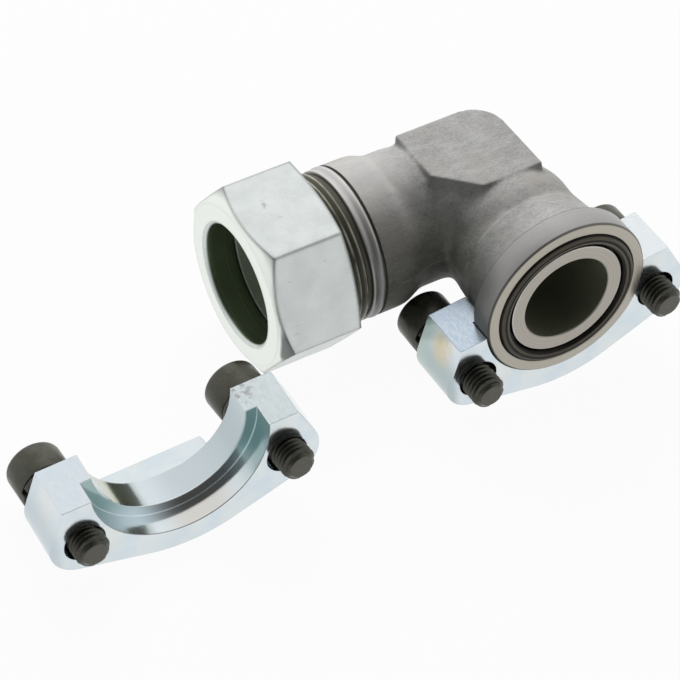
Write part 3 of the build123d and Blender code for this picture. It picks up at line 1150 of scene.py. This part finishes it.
@dataclass
class ForgedElbow:
    """The elbow: forged arms with a padded corner, turned flange head and threaded spigot.

    Profiles are corners as (distance along the axis, radius), and a ramp is its middle and its reach.
    """

    layout: Layout
    arm_radius: float = 19.8
    neck_radius: float = 21.5
    neck_taper: Span = (19.0, 33.0)
    flange_stub: float = 42.0
    swell_radius: float = 22.4
    swell_taper: Span = (26.5, 32.5)
    nut_stub: float = 48.0
    overlap: float = 0.5
    ball_radius: float = 19.9
    ramps: tuple[tuple[Triple, Triple], ...] = (
        ((0.0, -22.0, 8.0), (17.5, 18.0, 14.4)),
        ((-25.0, 0.0, 8.0), (20.0, 16.0, 14.3)),
        ((-9.0, -9.0, 10.0), (14.0, 14.0, 12.0)),
    )
    pad_height: float = 22.5
    pad_inner: float = 20.0
    pad_outer: float = 10.0
    pad_cut: float = 10.6
    pad_round: float = 9.5
    pad_spread: float = 1.57
    voxel: float = 0.45
    soften_all: int = 14
    soften_sides: int = 30
    soften_corner: int = 70
    side_top: float = 20.6
    corner_top: float = 17.0
    corner_width: float = 5.5
    corner_start: float = -1.0
    flange_end: float = 33.0
    nut_end: float = 40.7
    flange_bore: float = 13.55
    passage: float = 15.05
    drill_reach: float = 60.0
    head_profile: tuple[Point, ...] = (
        (19.4, 13.5), (0.35, 13.5), (0.0, 13.85), (0.0, 17.6), (0.12, 17.78), (2.7, 17.8), (2.7, 22.0),
        (0.12, 22.02), (0.0, 22.2), (0.0, 24.75), (0.2, 25.2), (0.65, 25.4), (7.6, 25.4), (7.9, 25.28),
        (8.0, 25.0), (8.0, 22.1), (8.15, 21.7), (8.6, 21.5), (16.9, 21.5), (17.3, 21.2), (19.4, 20.0),
    )
    spigot_profile: tuple[Point, ...] = (
        (38.0, 15.0), (38.0, 21.8), (41.5, 21.8), (41.6, 21.9), (41.6, 22.2), (41.75, 22.4), (42.1, 22.5),
        (42.6, 22.45), (43.2, 22.2), (43.7, 22.1), (44.3, 22.15), (44.8, 22.25), (45.1, 22.15), (45.3, 21.85),
        (45.4, 21.3), (61.2, 21.3), (61.9, 20.7), (62.0, 20.4), (62.0, 19.0), (55.884, 17.7), (51.5, 17.7),
        (51.5, 15.0),
    )
    ridge_profile: tuple[Point, ...] = (
        (45.3, 21.2), (46.17, 22.42), (46.3, 22.47), (46.43, 22.42), (47.3, 21.2),
    )
    pitch: float = 2.0
    thread_turns: int = 7
    runout_start: float = 60.2
    runout_share: float = 0.965
    facets: int = 160

    def bar(self, first: float, last: float, start: float, end: float, arm: Arm) -> Piece:
        """Add one round or tapered bar that leaves the corner.

        Args:
            first: Radius where it starts.
            last: Radius where it ends.
            start: Where it starts, counted from the corner.
            end: Where it ends.
            arm: The arm that it lies in.

        Returns:
            The bar.
        """
        clear_bench()
        middle = -(start + end) / 2 * MM
        across = arm is Arm.NUT
        bpy.ops.mesh.primitive_cone_add(
            vertices=128,
            radius1=first * MM,
            radius2=last * MM,
            depth=(end - start) * MM,
            location=(middle, 0.0, 0.0) if across else (0.0, middle, 0.0),
            rotation=(0.0, -math.pi / 2, 0.0) if across else (math.pi / 2, 0.0, 0.0),
        )
        bar = bpy.context.active_object
        settle()
        return bar

    def bars(self, radius: float, taper: Span, end: float, arm: Arm) -> list[Piece]:
        """Add the root, the taper and the stub of an arm.

        Args:
            radius: Radius of the stub.
            taper: Where the taper starts and ends.
            end: Where the stub ends.
            arm: The arm.

        Returns:
            The three bars, which overlap.
        """
        root = self.arm_radius
        start, stop = taper
        return [
            self.bar(root, root, 0.0, start + self.overlap, arm),
            self.bar(root, radius, start, stop, arm),
            self.bar(radius, radius, stop - self.overlap, end, arm),
        ]

    def ball(self, radius: float) -> Piece:
        """Add a ball at the corner.

        Args:
            radius: Its radius.

        Returns:
            The ball.
        """
        clear_bench()
        bpy.ops.mesh.primitive_uv_sphere_add(segments=96, ring_count=48, radius=radius * MM)
        return bpy.context.active_object

    def ramp(self, middle: Triple, reach: Triple) -> Piece:
        """Add the soft ramp from an arm's crown up to the pad.

        Args:
            middle: Middle of the ramp.
            reach: Its reach along each axis.

        Returns:
            The ramp.
        """
        ramp = self.ball(1.0)
        open_all(ramp)
        bpy.ops.transform.resize(value=reach, center_override=(0.0, 0.0, 0.0))
        bpy.ops.transform.translate(value=Vector(middle) * MM)
        shut()
        return ramp

    def pad(self) -> Piece:
        """Model the flat pad over the corner, with drafted sides.

        Returns:
            The pad block.
        """
        inner, outer, cut, curve = self.pad_inner, self.pad_outer, self.pad_cut, self.pad_round
        spots = [(-inner, -inner + cut), (-inner + cut, -inner), (outer, -inner)]
        for angle in range(0, 91, 10):
            turn = math.radians(angle)
            spots.append((outer - curve + curve * math.cos(turn), outer - curve + curve * math.sin(turn)))
        spots.append((-inner, outer))
        pad = draw_outline("pad", [Vector((x, y, self.pad_height)) for x, y in spots])
        open_all(pad)
        bpy.ops.mesh.edge_face_add()
        bpy.ops.mesh.extrude_region_move(TRANSFORM_OT_translate={"value": (0.0, 0.0, -self.pad_height * MM)})
        spread = 1.0 + self.pad_spread / ((inner + outer) / 2)
        middle = ((outer - inner) / 2 * MM, (outer - inner) / 2 * MM, 0.0)
        bpy.ops.transform.resize(value=(spread, spread, 1.0), center_override=middle)
        clean(pad)
        return pad

    def in_corner(self, point: Vector) -> bool:
        """Tell whether a point lies in the inner corner, below the pad."""
        beside = abs(point.x - point.y) < self.corner_width
        return beside and point.x < self.corner_start and point.z < self.corner_top

    def melt(self, forging: Piece) -> None:
        """Melt the bars, ramps and pad together and soften the edges.

        Args:
            forging: The joined solids.
        """
        melt = forging.modifiers.new("melt", "REMESH")
        melt.mode = "VOXEL"
        melt.voxel_size = self.voxel * MM
        soften = forging.modifiers.new("soften", "SMOOTH")
        soften.factor = 0.5
        soften.iterations = self.soften_all
        apply_all(forging)
        smooth_points(forging, lambda point: point.z < self.side_top, self.soften_sides)
        smooth_points(forging, self.in_corner, self.soften_corner)

    def build_forging(self) -> Piece:
        """Forge the arms, the corner and the pad into one soft-edged body and bore it.

        Returns:
            The forging.
        """
        forging = merge_pieces(
            *self.bars(self.neck_radius, self.neck_taper, self.flange_stub, Arm.FLANGE),
            *self.bars(self.swell_radius, self.swell_taper, self.nut_stub, Arm.NUT),
            self.ball(self.ball_radius),
            *(self.ramp(middle, reach) for middle, reach in self.ramps),
            self.pad(),
        )
        name_piece(forging, "elbow_forging")
        self.melt(forging)
        for end, way in ((self.flange_end, Vector((0.0, -1.0, 0.0))), (self.nut_end, Vector((-1.0, 0.0, 0.0)))):
            open_all(forging)
            bpy.ops.mesh.bisect(plane_co=way * end * MM, plane_no=way, use_fill=True, clear_outer=True)
            shut()
        drill = self.ball(self.passage)
        for radius, arm in ((self.flange_bore, Arm.FLANGE), (self.passage, Arm.NUT)):
            work_with(drill, self.bar(radius, radius, 0.0, self.drill_reach, arm), Cut.JOIN)
        work_with(forging, drill, Cut.REMOVE)
        set_down(forging, self.layout.elbow(), 40.0)
        return forging

    def build_flange_head(self) -> Piece:
        """Turn the flange head with its face groove, rim and neck.

        Returns:
            The head.
        """
        head = turn_on_lathe("flange_head", self.head_profile, self.facets)
        set_down(head, self.layout.flange(), 32.0)
        return head

    def build_spigot(self) -> Piece:
        """Turn the collar and cut the thread of the nut end.

        Returns:
            The spigot.
        """
        core = turn_on_lathe("threaded_spigot", self.spigot_profile, self.facets)
        ridge = wind_ridge("ridge", self.ridge_profile, self.pitch, self.thread_turns, 120)
        share = self.runout_share
        draw_in(ridge, lambda point: point.z > self.runout_start, (share, share, 1.0))
        spigot = merge_pieces(core, ridge)
        set_down(spigot, self.layout.spigot(), 30.0)
        return spigot

    def build(self) -> list[Piece]:
        """Build and dress the elbow.

        Returns:
            Its pieces.
        """
        forging, head, spigot = self.build_forging(), self.build_flange_head(), self.build_spigot()
        paint(forging, ForgedSkin().material(self.layout.elbow()))
        paint(head, TurnedFlange().material(self.layout.flange()))
        paint(spigot, TurnedSpigot().material(self.layout.spigot()))
        for piece in (forging, head, spigot):
            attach(piece, "fitting")
            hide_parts("elbow_body")
        return [forging, head, spigot]


@dataclass
class UnionNut:
    """The union nut with its cutting ring, and the O-ring of the flange face."""

    layout: Layout

    def build(self) -> list[Piece]:
        """Dress the nut, the ring and the seal.

        Returns:
            The three pieces.
        """
        nut, ring, seal = (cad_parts[name] for name in ("union_nut", "cutting_ring", "flange_o_ring"))
        paint(nut, ZincNutSkin().material(self.layout.spigot()))
        paint(ring, RingSteel().material(self.layout.spigot()))
        paint(seal, SealRubber().material(self.layout.flange()))
        return [nut, ring, seal]


@dataclass
class CapScrewSet:
    """Socket head cap screws with lock washers, modelled once and copied.

    The runout is where the thread fades: from one height to another, with the share of its radius that stays.
    """

    thread_core: float = 4.08
    thread_root: float = 4.0
    thread_crest: float = 4.97
    pitch: float = 1.5
    thread_turns: int = 17
    runout: tuple[Triple, ...] = (
        (-99.0, -25.0, 0.72),
        (-25.0, -24.55, 0.82),
        (-24.55, -24.1, 0.93),
        (0.2, 99.0, 0.84),
    )
    tip: float = -25.4
    tip_radius: float = 3.3
    tip_chamfer: float = 0.75
    tip_inset: float = 0.05
    under_head: float = 2.6
    head_radius: float = 8.0
    head_top: float = 12.6
    key: float = 8.0
    key_depth: float = 5.0
    washer_bore: float = 5.2
    washer_radius: float = 8.0
    washer_seat: float = 0.02
    washer_thickness: float = 2.15
    washer_rise: float = 0.4
    washer_arc: float = 346.0

    def turn_blank(self) -> Piece:
        """Turn the shank and the head.

        Returns:
            The blank, with no thread and no socket.
        """
        tip, under, top = self.tip, self.under_head, self.head_top
        core, wide = self.thread_core, self.head_radius
        profile = [
            (tip, 0.0), (tip, self.tip_radius), (tip + self.tip_chamfer, core), (under - 0.9, core),
            (under - 0.35, 4.5), (under, 4.95), (under, wide - 0.5), (under + 0.1, wide - 0.15),
            (under + 0.4, wide), (top - 1.0, wide), (top - 0.5, wide - 0.12), (top - 0.15, wide - 0.45),
            (top, wide - 0.95), (top, 0.0),
        ]
        return turn_on_lathe("cap_screw", profile, 72, False)

    def wind_thread(self) -> Piece:
        """Wind the thread, which fades at both ends and stops level with the tip.

        Returns:
            The thread.
        """
        start, half = self.tip - 0.2, self.pitch / 2
        profile = [
            (start, self.thread_root),
            (start + half - 0.1, self.thread_crest),
            (start + half + 0.1, self.thread_crest),
            (start + self.pitch - 0.12, self.thread_root),
        ]
        ridge = wind_ridge("screw_thread", profile, self.pitch, self.thread_turns, 40)
        for low, high, share in self.runout:
            draw_in(ridge, lambda point: low < point.z <= high, (share, share, 1.0))
        level = self.tip + self.tip_inset
        draw_in(ridge, lambda point: point.z < level, (1.0, 1.0, 0.0), level)
        return ridge

    def model_screw(self) -> Piece:
        """Model one screw, its head up the Z axis and its washer seat at the origin.

        Returns:
            The screw.
        """
        screw = self.turn_blank()
        clear_bench()
        bpy.ops.mesh.primitive_cylinder_add(
            vertices=6,
            radius=self.key / math.sqrt(3.0) * MM,
            depth=self.key_depth * 2 * MM,
            location=(0.0, 0.0, self.head_top * MM),
        )
        key = bpy.context.active_object
        settle()
        work_with(screw, key, Cut.REMOVE)
        return merge_pieces(screw, self.wind_thread())

    def model_washer(self) -> Piece:
        """Model one split lock washer with its gap at the X axis.

        Returns:
            The washer.
        """
        low, high, bore, wide = self.washer_seat, self.washer_thickness, self.washer_bore, self.washer_radius
        profile = [(low, bore), (low, wide), (high, wide), (high, bore)]
        washer = wind_ridge("lock_washer", profile, self.washer_rise, 1, 84, math.radians(self.washer_arc))
        round_edges(washer, 0.18, 2, 50.0)
        open_all(washer)
        turn = math.radians((360.0 - self.washer_arc) / 2)
        bpy.ops.transform.rotate(value=-turn, orient_axis="Z", center_override=(0.0, 0.0, 0.0))
        shut()
        return washer


@dataclass(frozen=True)
class ScrewRest:
    """How a screw lies loose in its hole, in millimetres and degrees."""

    slack: float
    tilt: float = 0.0
    swing: float = 0.0
    shift: float = 0.0


@dataclass
class FlangeHalf:
    """One flange half with its two loose screws and washers."""

    layout: Layout
    which: HalfPlace
    left: ScrewRest
    right: ScrewRest
    skin: ZincHalfSkin = ZincHalfSkin()
    screw_oxide: BlackOxide = BlackOxide()
    washer_oxide: BlackOxide = BlackOxide("washer_oxide", (0.03, 0.03, 0.026), (0.08, 0.078, 0.07), roughness=0.42)
    bolt_spacing: float = 58.7
    bolt_depth: float = 15.1
    screw_play: float = 0.85
    thickness: float = 16.7

    def seat(self, side: Side) -> Matrix:
        """Give the place of a screw.

        Args:
            side: The bolt side.

        Returns:
            The washer's seat, with Z towards the screw head.
        """
        front = self.layout.half(self.which)
        rest = self.left if side is Side.LEFT else self.right
        across, down, back = (front.col[i].to_3d() for i in range(3))
        headwards = back + down * math.tan(math.radians(rest.tilt)) - across * math.tan(math.radians(rest.swing))
        headwards.normalize()
        drop = math.sqrt(self.screw_play**2 - rest.shift**2)
        aside = side.way * self.bolt_spacing / 2 + rest.shift
        hole = front @ (Vector((aside, self.bolt_depth + drop, self.thickness)) * MM)
        level = (across - headwards * across.dot(headwards)).normalized()
        return self.layout.axes(level, headwards, hole / MM + headwards * rest.slack)

    def build(self, screw: Piece, washer: Piece) -> list[Piece]:
        """Dress the half and lay copies of the screw and the washer in its holes.

        Args:
            screw: The modelled screw.
            washer: The modelled washer.

        Returns:
            The half, its screws and its washers.
        """
        name = self.which.value
        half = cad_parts[f"{name}_flange_half"]
        paint(half, self.skin.material(f"{name}_half_skin", self.layout.half(self.which)))
        made = [half]
        for side in Side:
            seat = self.seat(side)
            place = f"{name}_{side.label}"
            bolt = copy_of(screw, f"{place}_cap_screw")
            set_down(bolt, seat, 32.0)
            paint(bolt, self.screw_oxide.material(seat))
            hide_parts(f"{place}_screw")
            spring = copy_of(washer, f"{place}_lock_washer")
            set_down(spring, seat @ Matrix.Rotation(math.radians(side.gap_turn), 4, "Z"), 32.0)
            paint(spring, self.washer_oxide.material(seat))
            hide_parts(f"{place}_washer")
            for piece in (bolt, spring):
                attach(piece, "fitting")
                made.append(piece)
        return made


@dataclass(frozen=True)
class Softbox:
    """A soft square lamp that points at the object, in metres and watts."""

    name: str
    spot: Triple
    power: float
    size: float = 0.9
    aim: Triple = (-0.06, 0.03, 0.0)

    def hang(self) -> None:
        """Hang the lamp."""
        lamp = bpy.data.lights.new(self.name, "AREA")
        lamp.shape = "SQUARE"
        lamp.size = self.size
        lamp.energy = self.power
        holder = bpy.data.objects.new(self.name, lamp)
        holder.location = self.spot
        holder.rotation_mode = "QUATERNION"
        holder.rotation_quaternion = (Vector(self.aim) - Vector(self.spot)).to_track_quat("-Z", "Y")
        holder.visible_glossy = False
        bpy.context.scene.collection.objects.link(holder)


@dataclass
class Studio:
    """White floor, soft light and the camera."""

    layout: Layout
    azimuth: float = -30.5905
    elevation: float = 45.1044
    roll: float = 0.5748
    distance: float = 920.6
    aside: float = -37.37
    upward: float = -42.18
    lens: float = 171.25
    sensor: float = 36.0
    clip: Span = (0.05, 50.0)
    floor_size: float = 6.0
    floor_grey: Colour = (0.52, 0.52, 0.52)
    floor_white: float = 0.955
    daylight: float = 0.24
    shade: float = 0.10
    shade_span: Span = (0.35, 0.95)
    lamps: tuple[Softbox, ...] = (
        Softbox("back_softbox", (0.27, 0.90, 0.82), 20.5),
        Softbox("top_softbox", (-0.05, 0.25, 1.2), 3.4),
    )

    def view_axes(self) -> tuple[Vector, Vector, Vector]:
        """Give the camera's right, up and back in the row frame.

        Returns:
            The three axes.
        """
        a, e, r = (math.radians(v) for v in (self.azimuth, self.elevation, self.roll))
        back = Vector((math.sin(a) * math.cos(e), -math.cos(a) * math.cos(e), math.sin(e)))
        level = Vector((math.cos(a), math.sin(a), 0.0))
        rise = back.cross(level)
        right = level * math.cos(r) + rise * math.sin(r)
        up = rise * math.cos(r) - level * math.sin(r)
        turn = self.layout.elbow().to_3x3()
        return turn @ right, turn @ up, turn @ back

    def set_camera(self) -> None:
        """Put the camera where the picture is taken from."""
        right, up, back = self.view_axes()
        eye = (back * self.distance + right * self.aside + up * self.upward) * MM
        camera = bpy.data.objects.new("camera", bpy.data.cameras.new("camera"))
        camera.data.sensor_fit = "HORIZONTAL"
        camera.data.sensor_width = self.sensor
        camera.data.lens = self.lens
        camera.data.clip_start, camera.data.clip_end = self.clip
        place = Matrix((right, up, back)).transposed().to_4x4()
        place.translation = eye + self.layout.elbow().translation
        camera.matrix_world = place
        bpy.context.scene.collection.objects.link(camera)
        bpy.context.scene.camera = camera

    def lay_floor(self) -> None:
        """Lay the pale floor, which shows white and keeps the object's shadow."""
        clear_bench()
        bpy.ops.mesh.primitive_plane_add(size=self.floor_size, location=(0.0, 0.0, self.layout.floor * MM))
        floor = bpy.context.active_object
        name_piece(floor, "floor")
        settle()
        finish = bpy.data.materials.new("floor_white")
        finish.use_nodes = True
        bench = NodeBench(finish.node_tree)
        plain = bench.feed(bench.node("BsdfDiffuse"), self.floor_grey)
        glow = bench.node("Emission")
        white = bench.sum("MULTIPLY", bench.seen(), self.floor_white)
        bench.show("OutputMaterial", bench.choose(white, plain.outputs[0], glow.outputs[0]))
        paint(floor, finish)

    def hang_sky(self) -> None:
        """Surround the object with white, darker behind the camera."""
        world = bpy.data.worlds.new("studio")
        bpy.context.scene.world = world
        world.use_nodes = True
        bench = NodeBench(world.node_tree)
        behind = bench.match(bench.node("TexCoord").outputs["Generated"], self.view_axes()[2])
        tone = bench.rise(behind, *self.shade_span, 1.0, self.shade)
        light = bench.feed(bench.node("Background"), tone, self.daylight)
        shown = bench.feed(bench.node("Background"), tone)
        bench.show("OutputWorld", bench.choose(bench.seen(), light.outputs[0], shown.outputs[0]))

    def build(self) -> None:
        """Set up the whole studio."""
        self.set_camera()
        self.lay_floor()
        self.hang_sky()
        for lamp in self.lamps:
            lamp.hang()
        bpy.context.scene.view_settings.view_transform = "Standard"


def report(pieces: Sequence[Piece]) -> None:
    """Report each piece with its number of faces."""
    for piece in pieces:
        LOG.info("%s: %d faces", piece.name, len(piece.data.polygons))


def main() -> None:
    """Build the elbow, the nut, both halves and the studio in order."""
    logging.basicConfig(level=logging.INFO, format="%(name)s %(message)s")
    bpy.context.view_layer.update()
    layout = Layout()
    report(ForgedElbow(layout).build())
    report(UnionNut(layout).build())
    screws = CapScrewSet()
    screw, washer = screws.model_screw(), screws.model_washer()
    rest = ScrewRest(1.7)
    # Seated half: its left ear's sawn face is painted darker and bluer as shade from the forging, its right ear's
    # lighter as lit.
    skin = ZincHalfSkin(
        lilac=(0.48, 0.585, 0.73), lit=(0.82, 0.86, 0.89), slate=(0.36, 0.43, 0.43), stained=0.8, outer_darkening=0.7
    )
    report(FlangeHalf(layout, HalfPlace.SEATED, rest, rest, skin).build(screw, washer))
    left, right = ScrewRest(3.6, 2.2, 2.0), ScrewRest(2.4, 2.2, 4.2, -0.45)
    report(FlangeHalf(layout, HalfPlace.FREE, left, right).build(screw, washer))
    for pattern in (screw, washer):
        bpy.data.objects.remove(pattern)
    Studio(layout).build()
    clear_bench()
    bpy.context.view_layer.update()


if __name__ == "__main__":
    main()
